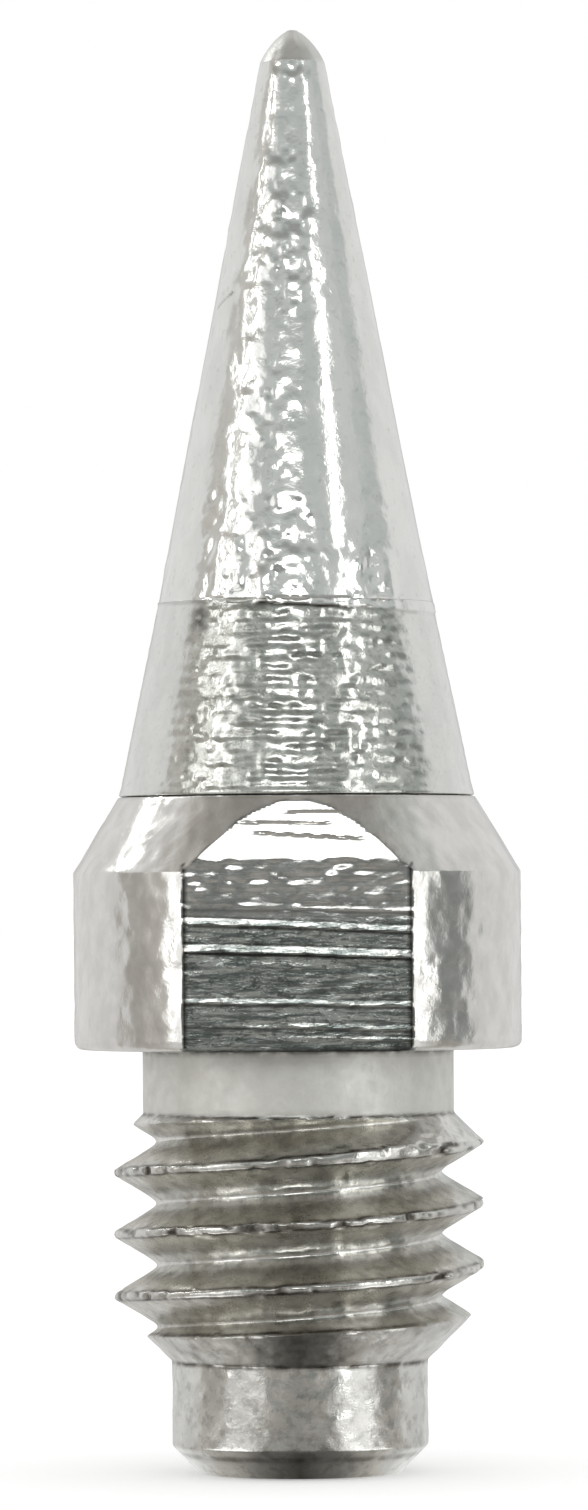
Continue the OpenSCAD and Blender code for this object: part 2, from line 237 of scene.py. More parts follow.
def paint(obj, name, values):
    layer = obj.data.attributes.new(name, "FLOAT", "POINT")
    layer.data.foreach_set("value", np.clip(values, 0, 1).astype(np.float32))


# ---------------------------------------------------------------- hardened point
POINT_STEP, POINT_COLUMNS = 0.056, 340
BLUNT_FILLET, STEM_CHAMFER = 0.12, 0.2
SEAT_GAP = 0.004  # between the point's seat and the spindle, so that the two faces do not share a plane
TINNED_SINK = 0.02  # keeps the lumps inside the plain cone
SCRATCH = ((-1.93, -0.70, 19.02), (-1.56, -1.23, 19.36))
SCRATCH_DEPTH, SCRATCH_WIDTH = 0.02, 0.035


def tinned_relief(points):
    """Lumps of a tinned surface: strong round the seam and on the left, calm on the right."""
    x, y, z = points.T
    r = np.maximum(np.hypot(x, y), 0.01)
    calm = smoothstep(0.05, 0.35, x / r) * smoothstep(0.1, -0.2, y / r)
    calm *= smoothstep(JOINT_Z + 2.2, JOINT_Z + 3.2, z)
    patch = smoothstep(0.35, 0.65, value_noise(points, (1.0, 1.0, 1.5), 14))
    near_seam = smoothstep(JOINT_Z + 2.4, JOINT_Z + 0.6, z)
    side = smoothstep(0.55, 0.8, np.abs(x) / r)
    quiet = np.exp(-(((z - JOINT_Z - 3.8) / 0.9) ** 2)) * smoothstep(-0.3, -0.05, x / r)
    size = (0.42 + 1.2 * patch + 0.6 * near_seam) * (1 - 0.6 * calm) * (1 - 0.6 * side) * (1 - 0.6 * quiet)
    h = (value_noise(points, (0.40, 0.40, 0.46), 11) - 0.5) * 0.05
    h += (value_noise(points, 0.22, 12) - 0.5) * 0.02 + (value_noise(points, 0.13, 15) - 0.5) * 0.008
    return h * size + (value_noise(points, 1.7, 13) - 0.5) * 0.022


def scratch_distance(points, start, end):
    """Distance of each point from the segment start-end."""
    a, b = np.array(start), np.array(end)
    t = np.clip((points - a) @ (b - a) / ((b - a) @ (b - a)), 0, 1)
    return np.linalg.norm(points - a - t[:, None] * (b - a), axis=1)


def point_relief(points, n):
    outside = (n[:, 0] > 0.3) & (points[:, 2] > JOINT_Z + 0.02)
    fade = smoothstep(0, 0.15, TIP_Z - points[:, 2])
    scratch = np.exp(-((scratch_distance(points, *SCRATCH) / SCRATCH_WIDTH) ** 2))
    h = tinned_relief(points) - SCRATCH_DEPTH * scratch
    return np.where(outside, h * fade - TINNED_SINK, 0.0)


def tip_outline():
    """From the top of the apex circle down the bulging side arc to the blunt edge."""
    edge, apex = np.array([BLUNT_R, BLUNT_Z]), np.array([0, TIP_Z - APEX_R])
    span = np.linalg.norm(apex - edge)
    along = (apex - edge) / span
    foot = (TIP_SIDE_R**2 - (TIP_SIDE_R - APEX_R) ** 2 + span**2) / (2 * span)
    centre = edge + along * foot + np.array([-along[1], along[0]]) * math.sqrt(TIP_SIDE_R**2 - foot**2)
    start = math.atan2(BLUNT_Z - centre[1], BLUNT_R - centre[0])
    touch = math.atan2(apex[1] - centre[1], -centre[0])

    def arc(middle, radius, angles):
        return [(middle[0] + radius * math.cos(a), middle[1] + radius * math.sin(a)) for a in angles]

    cap = arc(apex, APEX_R, np.linspace(math.pi / 2 - 0.1, touch, 7))
    return cap + arc(centre, TIP_SIDE_R, np.linspace(touch, start, 14))[1:]


tip = tip_outline()
point_outline = tip[:-1] + rounded(
    [(*tip[-2], 0), (BLUNT_R, BLUNT_Z, BLUNT_FILLET), (JOINT_R, JOINT_Z + SEAT_GAP, 0),
     (STEM_R, JOINT_Z + SEAT_GAP, 0), (STEM_R, STEM_LOW + STEM_CHAMFER, 0),
     (STEM_R - STEM_CHAMFER, STEM_LOW, 0), (AXIS_R, STEM_LOW, 0)]
)[1:-1]
point_outline = dense(
    point_outline + [(AXIS_R, STEM_LOW)], POINT_STEP, closed=False, where=lambda r, z: z > JOINT_Z and r > 0.3
)
point = lathe("point_visual", point_outline, POINT_COLUMNS, point_relief, closed=False)
co = vertex_array(point)
paint(point, "shade_and_grime", 0.8 * np.exp(-((scratch_distance(co, *SCRATCH) / 0.04) ** 2)))
paint(point, "blunt", smoothstep(BLUNT_Z - 0.12, BLUNT_Z + 0.1, co[:, 2]))
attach(point, "spindle")
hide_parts("hardened_point")

# ---------------------------------------------------------------- spindle with the turned cone
TURN_PITCH, TURN_DEPTH = 0.335, 0.011
SPINDLE_STEP, SPINDLE_COLUMNS = 0.036, 420
SOCKET_GAP = 0.15  # room under the point's stem
SKIRT = 0.07  # how far the foot's rounded edge reaches down into the running gap
CALM_SIDES = 0.72  # share of the relief that the two sides of the cone are without


def tin_edge(points):
    """Level at which the tinned finish of the point ends: it runs a little downhill to the right."""
    x, y = points[:, 0], points[:, 1]
    return JOINT_Z - 0.13 - 0.045 * x + 0.05 * (value_noise(points, 0.9, 31) - 0.5)


def spindle_relief(points, n):
    cone = (n[:, 0] > 0.5) & (points[:, 2] > FOOT_Z + 0.06)
    z = points[:, 2]
    angle = np.arctan2(points[:, 1], points[:, 0])
    wander = (value_noise(points, (1.4, 1.4, 0.8), 21) - 0.5) * 0.9
    wave = np.cos(2 * math.pi * z / TURN_PITCH + angle + wander)
    strength = 0.1 + 1.3 * value_noise(points, (0.36, 0.36, 0.3), 22)
    grooves = TURN_DEPTH * wave * strength
    grooves += (value_noise(points, (0.27, 0.27, 0.24), 23) - 0.5) * 0.046
    grooves += (value_noise(points, 0.15, 24) - 0.5) * 0.012
    beside = np.abs(points[:, 0]) / np.hypot(points[:, 0], points[:, 1])
    grooves *= 1 - CALM_SIDES * smoothstep(0.62, 0.82, beside)
    tinned = smoothstep(-0.02, 0.03, z - tin_edge(points))
    h = grooves * (1 - tinned) + tinned_relief(points) * tinned - 0.012 * (1 - tinned)
    fade = smoothstep(FOOT_Z + 0.05, FOOT_Z + 0.2, z)
    return np.where(cone, h * fade - 0.004, 0.0)


spindle_outline = rounded(
    [(AXIS_R, SPINDLE_LOW[2], 0), (TAIL_END_R, SPINDLE_LOW[2], 0), (TAIL_R, SPINDLE_LOW[2] + TAIL_CHAMFER, 0),
     (TAIL_R, REAR_HIGH[2], 0), (WAIST_R, REAR_HIGH[2], 0), (WAIST_R, FRONT_LOW[2], 0),
     (JOURNAL_R, FRONT_LOW[2], 0), (JOURNAL_R, SHAFT_WASHER_HIGH[2], 0), (BOSS_R, SHAFT_WASHER_HIGH[2], 0),
     (BOSS_R, FOOT_Z - SKIRT, 0), (FOOT_R, FOOT_Z - SKIRT, 0.06), (JOINT_R, JOINT_Z, 0), (STEM_R, JOINT_Z, 0),
     (STEM_R, STEM_LOW - SOCKET_GAP, 0), (AXIS_R, STEM_LOW - SOCKET_GAP, 0)]
)
spindle_outline = dense(
    spindle_outline, SPINDLE_STEP, closed=False, where=lambda r, z: z > FOOT_Z and r > JOINT_R - 0.02
)
spindle = lathe("spindle_visual", spindle_outline, SPINDLE_COLUMNS, spindle_relief, closed=False)
co = vertex_array(spindle)
edge = co[:, 2] - tin_edge(co)
# painted sheen: the pale colour reaches further down at the two sides, left and right of the camera, standing
# in for the bright studio they mirror
beside = np.abs(co[:, 0]) / np.maximum(np.hypot(co[:, 0], co[:, 1]), 0.01)
beside += 0.12 * (value_noise(co, (0.5, 0.5, 0.7), 34) - 0.5)
paint(spindle, "tinned", np.maximum(smoothstep(-0.015, 0.015, edge), 0.8 * smoothstep(0.62, 0.80, beside)))
# painted shadow: a dark band just under the edge of the tin, strongest across the front facing the camera
front = smoothstep(-1.3, -0.8, co[:, 0]) * smoothstep(1.5, 1.1, co[:, 0])
patches = 0.3 * smoothstep(0.25, 0.6, value_noise(co, (0.9, 0.9, 3), 32))
seam_shadow = np.exp(-(((edge + 0.04) / 0.05) ** 2)) * (patches + front)
stain = np.exp(-(((co[:, 0] + 2.45) / 0.16) ** 2) - ((co[:, 2] - JOINT_Z + 0.5) / 0.3) ** 2) * (co[:, 1] < 0)
stain *= smoothstep(0.3, 0.6, value_noise(co, (0.25, 0.25, 0.2), 33)) * (edge < 0)
paint(spindle, "shade_and_grime", seam_shadow + 0.8 * stain)
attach(spindle, "spindle")
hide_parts("spindle")


# ---------------------------------------------------------------- collar with two wrench flats
COLLAR_STEP, COLLAR_COLUMNS = 0.09, 400
NOSE_R = FOOT_R + 0.03
COLLAR_SINK = 0.012  # keeps the relief inside the plain collar


def collar_relief(points, n):
    outside = (n[:, 0] > 0.1) & (np.hypot(points[:, 0], points[:, 1]) > NECK_R + 0.1)
    h = (value_noise(points, (0.4, 0.4, 0.5), 41) - 0.5) * 0.028
    h += (value_noise(points, 0.23, 42) - 0.5) * 0.014
    return np.where(outside, h - COLLAR_SINK, 0.0)


collar_outline = rounded(
    [(HEAD_BORE_R, 0, 0), (COLLAR_R, 0, 0.2), (COLLAR_R, COLLAR_H, 0.1), (NOSE_R, NOSE_Z, 0.05),
     (HOUSE_WASHER_HIGH[0], NOSE_Z, 0), (HOUSE_WASHER_HIGH[0], HOUSE_WASHER_LOW[2], 0),
     (HEAD_BORE_R, HOUSE_WASHER_LOW[2], 0)]
)
collar_outline = dense(collar_outline, COLLAR_STEP, where=lambda r, z: r > FOOT_R - 0.1)
collar = lathe("collar_visual", collar_outline, COLLAR_COLUMNS, collar_relief)

# level at the middle of the flat, height of the step, length of its bright slope, fall from left to right
MILL_STEPS = (
    (3.58, 0.32, 0.1, 0.02), (3.13, 0.6, 0.14, 0.042), (2.46, 0.8, 0.17, 0.034), (1.20, 0.5, 0.11, 0.022),
    (0.62, 0.45, 0.1, 0.026), (0.34, 0.2, 0.05, 0.02),
)
MILL_DEPTH = 0.045
# level, middle, half length and fall of the thin cuts in the leaning face above the flat
LEAN_CUTS = ((5.75, -0.3, 1.25, 0.01), (5.42, 0.3, 1.5, 0.06), (6.02, 0.5, 0.9, 0.0))
LEAN_CUT_DEPTH, LEAN_CUT_WIDTH = 0.03, 0.02


def mill_wander(p):
    """How far the milled lines stray from straight."""
    return (value_noise(p, (1.4, 1, 50), 51) - 0.5) * 0.025


def flat_depth(x, z):
    """How far the milled face stands from the axis at each point of it."""
    p = np.stack([x, np.zeros_like(x), z], 1)
    y = FLAT_Y - MILL_DEPTH - np.maximum(0, z - LEAN_START) * math.tan(LEAN_ANGLE)
    wander = mill_wander(p)
    for level, size, length, fall in MILL_STEPS:
        d = z - level - wander + fall * x
        rise = np.where(d < 0, smoothstep(-0.03, 0, d), np.clip(1 - d / length, 0, 1))
        ragged = np.minimum(0.8 + 0.5 * value_noise(p, (0.4, 1, 0.4), int(level * 100)), 1)
        if size < 0.5:  # the fine steps start near the middle and run to the right
            ragged = ragged * smoothstep(-0.6, 0.2, x)
        y = y + MILL_DEPTH * size * rise * ragged
    for level, middle, reach, fall in LEAN_CUTS:
        d = z - level + fall * (x - middle)
        ends = smoothstep(reach, reach - 0.4, np.abs(x - middle))
        y = y - LEAN_CUT_DEPTH * np.exp(-((d / LEAN_CUT_WIDTH) ** 2)) * ends
    grain = (value_noise(p, (0.9, 1, 0.1), 53) - 0.5) * 0.005
    worn = smoothstep(3.3, 3.9, z) + 0.35 * smoothstep(0.35, 0.65, value_noise(p, (1.5, 1, 0.5), 55))
    pits = (value_noise(p, (0.28, 1, 0.19), 54) - 0.5) * 0.034
    pits += (value_noise(p, (0.16, 1, 0.13), 56) - 0.5) * 0.018
    pits *= worn
    body = smoothstep(LEAN_START + 0.05, LEAN_START - 0.1, z)
    return np.minimum(y + (grain + pits) * (0.12 + 0.88 * body), FLAT_Y)


def mill_step_shade(x, z):
    """Painted shade: dark lines on both sides of each bright step."""
    p = np.stack([x, np.zeros_like(x), z], 1)
    wander = mill_wander(p)
    dirt = np.zeros_like(x)
    for level, size, length, fall in MILL_STEPS:
        d = z - level - wander + fall * x
        patch = smoothstep(0.2, 0.55, value_noise(p, (0.9, 1, 0.3), 60 + int(level * 10)))
        under = 1.5 * np.exp(-(((d + 0.06) / 0.04) ** 2))
        over = patch * np.exp(-(((d - length - 0.035) / 0.025) ** 2))
        dirt += size * (under + over)
    return dirt


def flat_cutter(side):
    """Block whose inner face is the milled surface, on the side of -Y or +Y."""
    columns, rows = 100, 250
    xs = np.linspace(-COLLAR_R, COLLAR_R, columns)
    zs = np.linspace(-0.6, NOSE_Z + 0.4, rows)
    gx, gz = np.meshgrid(xs, zs)
    gx, gz = gx.ravel(), gz.ravel()
    inner = np.stack([gx * -side, side * flat_depth(gx, gz), gz], 1)
    outer = np.stack([gx * -side, np.full_like(gx, side * (COLLAR_R + 1)), gz], 1)
    vertices = np.vstack([inner, outer])
    faces, half = [], columns * rows

    def at(i, j):
        return j * columns + i

    for j in range(rows - 1):
        for i in range(columns - 1):
            quad = (at(i, j), at(i + 1, j), at(i + 1, j + 1), at(i, j + 1))
            faces += [quad, tuple(q + half for q in reversed(quad))]
    rim = [at(i, 0) for i in range(columns)] + [at(columns - 1, j) for j in range(1, rows)]
    rim += [at(i, rows - 1) for i in range(columns - 2, -1, -1)] + [at(0, j) for j in range(rows - 2, 0, -1)]
    for a, b in zip(rim, rim[1:] + rim[:1]):
        faces.append((a, b, b + half, a + half))
    return make_object("cutter", vertices, faces)


def cut(obj, cutter):
    mod = obj.modifiers.new("cut", "BOOLEAN")
    mod.operation, mod.solver, mod.object = "DIFFERENCE", "EXACT", cutter
    deps = bpy.context.evaluated_depsgraph_get()
    mesh = bpy.data.meshes.new_from_object(obj.evaluated_get(deps))
    obj.modifiers.clear()
    old, obj.data = obj.data, mesh
    mesh.name = obj.name
    bpy.data.meshes.remove(old)
    bpy.data.objects.remove(cutter)


for side in (-1, 1):
    cut(collar, flat_cutter(side))
collar.data.shade_smooth()
collar.data.set_sharp_from_angle(angle=math.radians(28))
co = vertex_array(collar)
r = np.hypot(co[:, 0], co[:, 1])
on_flat = (np.abs(co[:, 1]) > FLAT_Y - 0.5) & (r < COLLAR_R - 0.03)
on_flat &= np.abs(np.abs(co[:, 1]) - flat_depth(np.zeros(len(co)), co[:, 2])) < 0.08
half_width = math.sqrt(COLLAR_R**2 - FLAT_Y**2)
# the flats' top zone keeps less of the dark flat colour: rubbed wear, and partly a painted highlight
top_wear_and_highlight = 0.65 * smoothstep(3.2, 3.5, co[:, 2])
milled = smoothstep(LEAN_START + 0.03, LEAN_START - 0.05, co[:, 2])
paint(collar, "flat", on_flat * milled * (1 - top_wear_and_highlight))
# painted shade: dark lines along the flats' edges, under the collar, beside the milled steps and at the
# running gap
cone_r = np.interp(co[:, 2], (COLLAR_H, NOSE_Z), (COLLAR_R, NOSE_R))
to_edge = np.hypot(np.abs(co[:, 1]) - flat_depth(co[:, 0], co[:, 2]), r - cone_r)
beside_flat = (np.abs(co[:, 1]) > FLAT_Y - 0.2) & (co[:, 2] < COLLAR_H + 0.2)
edges = np.exp(-(((np.abs(co[:, 0]) - half_width) / 0.03) ** 2)) * beside_flat
edges += 0.75 * np.exp(-((to_edge / 0.02) ** 2)) * (co[:, 2] > COLLAR_H)
bottom = np.exp(-((co[:, 2] / 0.09) ** 2)) * (np.abs(co[:, 0]) < half_width)
lines = on_flat * (co[:, 2] < LEAN_START - 0.1) * mill_step_shade(co[:, 0], co[:, 2])
gap_shade = np.exp(-(((co[:, 2] - NOSE_Z) / 0.03) ** 2))
paint(collar, "shade_and_grime", edges + 0.8 * bottom + lines + 0.3 * gap_shade)
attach(collar, "housing")
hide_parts("housing")


# ---------------------------------------------------------------- shank with the thread
def soft_min(a, b, k):
    """The smaller of a and b, with a rounded change from one to the other over about k."""
    h = np.clip(0.5 + 0.5 * (b - a) / k, 0, 1)
    return b + (a - b) * h - k * h * (1 - h)


def envelope(z):
    """Radius of the shank without its groove."""
    run_in = NECK_R + np.maximum(0, NECK_LOW - z)
    run_out = PILOT_R + np.maximum(0, z - THREAD_LOW)
    return np.minimum(np.minimum(run_in, THREAD_R), np.where(z > THREAD_LOW, run_out, PILOT_R))


RUNOUT_EXTRA_DEG = 38  # the cutter leaves the groove a little later than in the plain model
ROOT_ROUND = 0.1


def groove_floor(degrees, z):
    """Radius of the thread groove's surface at each angle and level."""
    centre = GROOVE_FULL_Z + PITCH * (degrees - GROOVE_START_DEG) / 360
    turn = np.round((z - centre) / PITCH)
    centre = centre + turn * PITCH
    turned = (GROOVE_FULL_Z + PITCH * (GROOVE_RUNOUT_DEG + RUNOUT_EXTRA_DEG) / 360 - centre) / PITCH * 360
    lift = np.maximum(0, 1 - turned / GROOVE_RUNOUT_DEG) ** 1.9 * (THREAD_R - ROOT_R) * 1.12
    lift = np.where(turned < 0, 9.0, lift)
    away = np.abs(z - centre)
    flank = (np.sqrt(away**2 + ROOT_ROUND**2) - ROOT_ROUND) / math.tan(math.radians(30))
    return ROOT_R - 0.025 + lift + flank


def shank_skin(points, threaded):
    """Lumps of the shank's surface, stronger on the thread."""
    lumps = (value_noise(points, (0.3, 0.3, 0.26), 61) - 0.5) * (0.02 + 0.026 * threaded)
    return lumps + (value_noise(points, 0.9, 62) - 0.5) * 0.02 - 0.014


NICK_DEPTH = 0.06


def shank_radius(angle, z):
    """Radius of the finished shank at each angle and level."""
    deg = np.degrees(angle) % 360
    smooth = soft_min(envelope(z), groove_floor(deg, z), 0.07)
    at_neck = smoothstep(NECK_LOW + 0.1, NECK_LOW - 0.1, z)
    at_pilot = smoothstep(THREAD_LOW - 0.1, THREAD_LOW + 0.15, z)
    r = envelope(z) * (1 - at_neck * at_pilot) + smooth * at_neck * at_pilot
    p = np.stack([r * np.cos(angle), r * np.sin(angle), z], 1)
    crest = smoothstep(THREAD_R - 0.35, THREAD_R - 0.05, r)
    nicks = NICK_DEPTH * smoothstep(0.5, 0.8, value_noise(p, (0.36, 0.36, 0.2), 63))
    threaded = smoothstep(THREAD_LOW - 0.3, THREAD_LOW + 0.3, z)
    return r + shank_skin(p, threaded) * smoothstep(NECK_LOW + 0.15, NECK_LOW, z) - nicks * crest


COLUMNS = 360
SHANK_STEP = 0.08
NECK_DENTS = ((-1.47, -0.85), (1.36, -0.93))
DENT_DEPTH = 0.02
HELIX_TOP, HELIX_LOW = -1.3, -8.45
# heights of the rows within one pitch: closer together where the root and the crest's edges are
ROW_SPANS = ((0, 0.06, 3), (0.06, 0.40, 12), (0.40, 0.46, 5), (0.46, 0.54, 4), (0.54, 0.60, 5),
             (0.60, 0.94, 12), (0.94, 1.0, 3))
ROW_SHARES = sorted({round(float(x), 4) for span in ROW_SPANS for x in np.linspace(*span)} - {1.0})


def shank_mesh():
    """Rings for the neck, pilot and bores, joined by rows that follow the helix of the thread."""
    angle = np.linspace(0, 2 * math.pi, COLUMNS, endpoint=False)
    top = rounded([(NECK_R + 0.5, 0, 0), (NECK_R, 0, 0.12), (NECK_R, HELIX_TOP, 0)], 5)[1:-1]
    top = dense(top + [(NECK_R, HELIX_TOP)], SHANK_STEP, closed=False)
    low = rounded([(PILOT_R, HELIX_LOW, 0), (PILOT_R, PILOT_END_Z + PILOT_CHAMFER, 0.16),
                   (PILOT_R - PILOT_CHAMFER, PILOT_END_Z, 0.16), (REAR_HIGH[0], PILOT_END_Z, 0.03),
                   (REAR_HIGH[0], SPRING_HIGH[2], 0), (WEB_R, SPRING_HIGH[2], 0),
                   (WEB_R, FRONT_LOW[2] - RELIEF, 0), (RELIEF_R, FRONT_LOW[2] - RELIEF, 0),
                   (RELIEF_R, FRONT_LOW[2], 0), (HEAD_BORE_R, FRONT_LOW[2], 0), (HEAD_BORE_R, -0.002, 0),
                   (NECK_R + 0.12, -0.002, 0)])
    inner_r = REAR_HIGH[0] - 0.1
    low = dense(low, SHANK_STEP, closed=False, where=lambda r, z: z < HELIX_LOW + 0.1 and r > inner_r)
    rings = top + low
    vertices, faces = [], []
    for r, z in rings:
        base, level = np.full(COLUMNS, r), np.full(COLUMNS, z)
        if z < HELIX_LOW + 0.001 and r > inner_r:
            p = np.stack([base * np.cos(angle), base * np.sin(angle), level], 1)
            keep = smoothstep(NECK_LOW, THREAD_LOW, level) * (r > PILOT_R - PILOT_CHAMFER - 0.02)
            base = base + shank_skin(p, 0) * keep
        else:
            for dent_x, dent_z in NECK_DENTS:
                near = np.exp(-(((r * np.cos(angle) - dent_x) / 0.07) ** 2) - ((z - dent_z) / 0.05) ** 2)
                base = base - DENT_DEPTH * near * (np.sin(angle) < 0)
        vertices.append(np.stack([base * np.cos(angle), base * np.sin(angle), level], 1))
    count = len(rings)

    def ring_face(i, j):
        for k in range(COLUMNS):
            m = (k + 1) % COLUMNS
            faces.append((i * COLUMNS + k, i * COLUMNS + m, j * COLUMNS + m, j * COLUMNS + k))

    last_top, first_low = len(top) - 1, len(top)
    for i in range(count - 1):
        if i != last_top:
            ring_face(i, i + 1)
    ring_face(count - 1, 0)
    vertices = [v for ring in vertices for v in ring]

    per_turn = len(ROW_SHARES)
    turns = int(math.ceil((HELIX_TOP - HELIX_LOW) / PITCH)) + 2
    base_z = GROOVE_FULL_Z - PITCH * GROOVE_START_DEG / 360
    lowest = base_z - PITCH * (math.ceil((base_z - HELIX_LOW) / PITCH) + 1)
    index = {}
    rows = per_turn * turns + per_turn
    all_a, all_z = [], []
    for k in range(rows + per_turn):
        share = (k // per_turn + ROW_SHARES[k % per_turn]) * PITCH
        for i in range(COLUMNS):
            z = lowest + share + PITCH * i / COLUMNS
            if z >= HELIX_TOP - 0.004:
                index[i, k] = last_top * COLUMNS + i
            elif z <= HELIX_LOW + 0.004:
                index[i, k] = first_low * COLUMNS + i
            else:
                index[i, k] = len(vertices) + len(all_a)
                all_a.append(angle[i])
                all_z.append(z)
    all_a, all_z = np.array(all_a), np.array(all_z)
    rr = shank_radius(all_a, all_z)
    vertices = np.vstack([np.array(vertices), np.stack([rr * np.cos(all_a), rr * np.sin(all_a), all_z], 1)])
    for k in range(rows - 1):
        for i in range(COLUMNS):
            if i + 1 < COLUMNS:
                right, right_up = index[i + 1, k], index[i + 1, k + 1]
            else:
                right, right_up = index[0, k + per_turn], index[0, k + 1 + per_turn]
            corners = [index[i, k], right, right_up, index[i, k + 1]]
            unique = [c for n, c in enumerate(corners) if c != corners[n - 1]]
            if len(set(unique)) == len(unique) and len(unique) > 2:
                faces.append(tuple(unique))
    used = sorted({c for f in faces for c in f})
    new = {c: n for n, c in enumerate(used)}
    return vertices[used], [tuple(new[c] for c in f) for f in faces]


shank = make_object("shank_visual", *shank_mesh(), sharp_deg=50)
co = vertex_array(shank)
r = np.hypot(co[:, 0], co[:, 1])
depth = envelope(co[:, 2]) - r
in_thread = (co[:, 2] < NECK_LOW + 0.15) & (co[:, 2] > THREAD_LOW - 0.1)
# painted shade: dark lines at the crest edges and the last turn, and darker flanks deep in the groove
lip = np.exp(-(((depth - 0.09) / 0.05) ** 2)) * (envelope(co[:, 2]) > THREAD_R - 0.05)
last_edge = np.exp(-(((depth - 0.16) / 0.1) ** 2))
last_edge *= smoothstep(THREAD_LOW + 1.15, THREAD_LOW + 0.95, co[:, 2])
flanks = 0.38 * smoothstep(0.4, 0.75, depth) * smoothstep(0.95, 0.8, depth)
shade_and_grime = np.where(in_thread, flanks + lip + 1.3 * last_edge, 0.0)
# painted shade: level, half width and strength of the dark lines round the shank
for z, width, strength in (
    (NECK_LOW - 0.02, 0.05, 0.9), (THREAD_LOW, 0.06, 0.9), (PILOT_END_Z + 0.5, 0.07, 0.7), (-0.02, 0.1, 0.8),
):
    shade_and_grime += strength * np.exp(-(((co[:, 2] - z) / width) ** 2))
paint(shank, "shade_and_grime", shade_and_grime)
paint(shank, "thread", in_thread * smoothstep(0.02, 0.12, depth) * smoothstep(0.92, 0.72, depth))
paint(shank, "neck", smoothstep(NECK_LOW - 0.1, NECK_LOW + 0.1, co[:, 2]))
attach(shank, "housing")


# ---------------------------------------------------------------- materials
def new_material(name):
    mat = bpy.data.materials.new(name)
    mat.use_nodes = True
    tree = mat.node_tree
    tree.nodes.clear()
    return mat, tree


class Graph:
    """Short ways to add and join shader nodes."""

    def __init__(self, tree):
        self.tree = tree
        self.coords = self.node("ShaderNodeTexCoord").outputs["Object"]

    def node(self, kind, **values):
        n = self.tree.nodes.new(kind)
        for key, value in values.items():
            setattr(n, key, value)
        return n

    def feed(self, socket, value):
        if hasattr(value, "links"):
            self.tree.links.new(value, socket)
        else:
            socket.default_value = value

    def noise(self, size_mm, detail=3, rough=0.55, stretch=(1, 1, 1), seed=0.0, distort=0.0):
        """Noise from 0 to 1 with features of about size_mm, longer along the stretched axes."""
        m = self.node("ShaderNodeMapping")
        self.feed(m.inputs["Vector"], self.coords)
        m.inputs["Scale"].default_value = [1 / (MM * size_mm * s) for s in stretch]
        m.inputs["Location"].default_value = (seed * 7.1, seed * 3.3, seed * 5.7)
        n = self.node("ShaderNodeTexNoise")
        self.feed(n.inputs["Vector"], m.outputs[0])
        n.inputs["Scale"].default_value = 1.0
        n.inputs["Detail"].default_value = detail
        n.inputs["Roughness"].default_value = rough
        n.inputs["Distortion"].default_value = distort
        return n.outputs["Fac"]

    def math(self, operation, a, b=0.0, clamp=False):
        n = self.node("ShaderNodeMath", operation=operation, use_clamp=clamp)
        self.feed(n.inputs[0], a)
        self.feed(n.inputs[1], b)
        return n.outputs[0]

    def ramp(self, value, low, high, to_low=0.0, to_high=1.0):
        n = self.node("ShaderNodeMapRange", interpolation_type="SMOOTHSTEP")
        self.feed(n.inputs["Value"], value)
        n.inputs["From Min"].default_value = low
        n.inputs["From Max"].default_value = high
        n.inputs["To Min"].default_value = to_low
        n.inputs["To Max"].default_value = to_high
        return n.outputs["Result"]

    def mix(self, factor, a, b):
        n = self.node("ShaderNodeMix", data_type="RGBA")
        self.feed(n.inputs["Factor"], factor)
        self.feed(n.inputs[6], a if hasattr(a, "links") else (*a, 1))
        self.feed(n.inputs[7], b if hasattr(b, "links") else (*b, 1))
        return n.outputs[2]

    def attribute(self, name):
        return self.node("ShaderNodeAttribute", attribute_name=name).outputs["Fac"]

    def bump(self, height, distance_mm, strength=1.0, under=None):
        n = self.node("ShaderNodeBump")
        n.inputs["Strength"].default_value = strength
        n.inputs["Distance"].default_value = distance_mm * MM
        self.feed(n.inputs["Height"], height)
        if under is not None:
            self.feed(n.inputs["Normal"], under)
        return n.outputs["Normal"]

    def surface(self, color, rough, normal=None, metallic=1.0):
        p = self.node("ShaderNodeBsdfPrincipled")
        self.feed(p.inputs["Base Color"], color)
        self.feed(p.inputs["Roughness"], rough)
        self.feed(p.inputs["Metallic"], metallic)
        if normal is not None:
            self.feed(p.inputs["Normal"], normal)
        out = self.node("ShaderNodeOutputMaterial")
        self.tree.links.new(p.outputs[0], out.inputs["Surface"])
        return p


def tinned_nodes(g):
    """Colour, roughness and normal of the soft pale finish on the point."""
    cloud = g.noise(0.9, 4, 0.6, (1, 1, 1.6), 1)
    color = g.mix(g.ramp(cloud, 0.35, 0.65), (0.75, 0.755, 0.73), (0.81, 0.81, 0.785))
    specks = g.ramp(g.noise(0.2, 3, 0.6, seed=2), 0.58, 0.72, 0, 0.22)
    color = g.mix(specks, color, (0.40, 0.40, 0.38))
    color = g.mix(g.math("MULTIPLY", g.attribute("blunt"), 0.3), color, (0.48, 0.48, 0.45))
    # painted shade and grime from the vertex attribute
    color = g.mix(g.attribute("shade_and_grime"), color, (0.16, 0.145, 0.13))
    rough = g.ramp(g.noise(0.5, 3, 0.6, seed=3), 0.3, 0.7, 0.09, 0.17)
    rough = g.math("ADD", rough, g.math("MULTIPLY", g.attribute("blunt"), 0.3))
    normal = g.bump(g.noise(0.16, 3, 0.55, seed=4), 0.007)
    return color, rough, normal


def point_material():
    mat, tree = new_material("point_finish")
    g = Graph(tree)
    g.surface(*tinned_nodes(g))
    return mat


